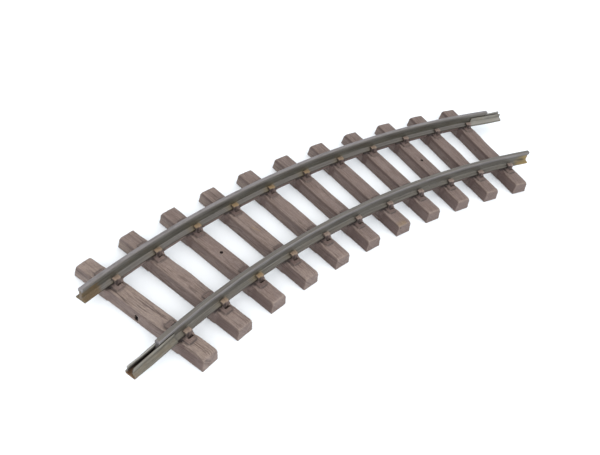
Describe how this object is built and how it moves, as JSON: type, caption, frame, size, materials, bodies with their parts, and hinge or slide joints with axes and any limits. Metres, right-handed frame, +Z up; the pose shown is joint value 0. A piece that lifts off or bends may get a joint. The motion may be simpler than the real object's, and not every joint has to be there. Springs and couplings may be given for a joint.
{
  "type": "model track section",
  "caption": "Curved model railway track section: two rails clipped to moulded sleepers that webs join, with a slide-on rail joiner at diagonally opposite rail ends.",
  "frame": {"origin": "middle of the bounding box in X and Y, on the surface that the sleepers stand on", "axes": "+X along the curve's chord towards the end where the outer rail carries its joiner, +Y away from the curve's centre, +Z up. The curve's centre is at x -4.624 mm, y -591.965 mm"},
  "size_m": [0.3404, 0.104, 0.0169],
  "materials": {
    "sleeper_plastic": "moulded wood grain, mauve-brown, matt, with tan dry-brushed clips",
    "rail_metal": "weathered to a dull olive grey, paler along the head, tan stains at the ends",
    "joiner_metal": "folded sheet, weathered to a dull grey brown",
    "screw_steel": "plain steel, slightly dulled"
  },
  "bodies": {
    "track": {"sleeper_01": "sleeper_plastic", "sleeper_02": "sleeper_plastic", "sleeper_03": "sleeper_plastic", "sleeper_04": "sleeper_plastic", "sleeper_05": "sleeper_plastic", "sleeper_06": "sleeper_plastic", "sleeper_07": "sleeper_plastic", "sleeper_08": "sleeper_plastic", "sleeper_09": "sleeper_plastic", "sleeper_10": "sleeper_plastic", "sleeper_11": "sleeper_plastic", "outer_rail": "rail_metal", "inner_rail": "rail_metal", "outer_rail_screw_left": "screw_steel", "outer_rail_screw_right": "screw_steel", "inner_rail_screw_left": "screw_steel", "inner_rail_screw_right": "screw_steel"},
    "outer_joiner_sleeve": {"outer_joiner": "joiner_metal"},
    "inner_joiner_sleeve": {"inner_joiner": "joiner_metal"}
  },
  "joints": [
    {"name": "outer_joiner_slide", "type": "slide", "parent": "track", "child": "outer_joiner_sleeve", "axis": [0.9692, -0.2461, 0], "range_m": [0, 0.0138]},
    {"name": "inner_joiner_slide", "type": "slide", "parent": "track", "child": "inner_joiner_sleeve", "axis": [-0.9688, -0.2477, 0], "range_m": [0, 0.0106]}
  ]
}
